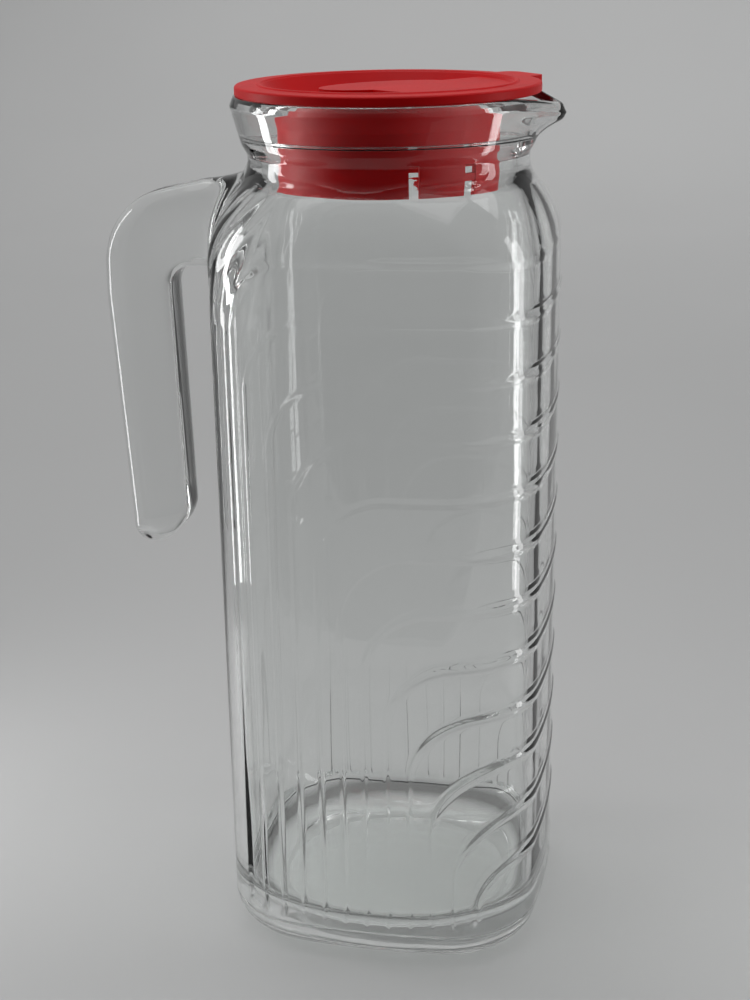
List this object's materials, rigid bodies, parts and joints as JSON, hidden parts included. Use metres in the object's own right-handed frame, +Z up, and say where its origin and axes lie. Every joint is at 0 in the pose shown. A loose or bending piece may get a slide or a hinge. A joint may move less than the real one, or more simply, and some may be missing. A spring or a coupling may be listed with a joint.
{
  "type": "water jug",
  "caption": "Tall glass jug with a rounded-square body, nested ridges, an open hook handle, a pouring spout and a push-in plastic lid.",
  "frame": {"origin": "centre of the flat face that the jug stands on", "axes": "+Z up along the jug's axis, +X towards the pouring spout, -X towards the handle"},
  "size_m": [0.1442, 0.103, 0.27],
  "materials": {
    "clear_glass": "clear, fire-polished",
    "red_plastic": "smooth moulded, slightly translucent"
  },
  "bodies": {
    "jug": {"jug_body": "clear_glass", "handle": "clear_glass"},
    "lid": {"lid": "red_plastic"}
  },
  "joints": [
    {"name": "lid_lift", "type": "slide", "parent": "jug", "child": "lid", "axis": [0, 0, 1], "range_m": [0, 0.06]}
  ]
}
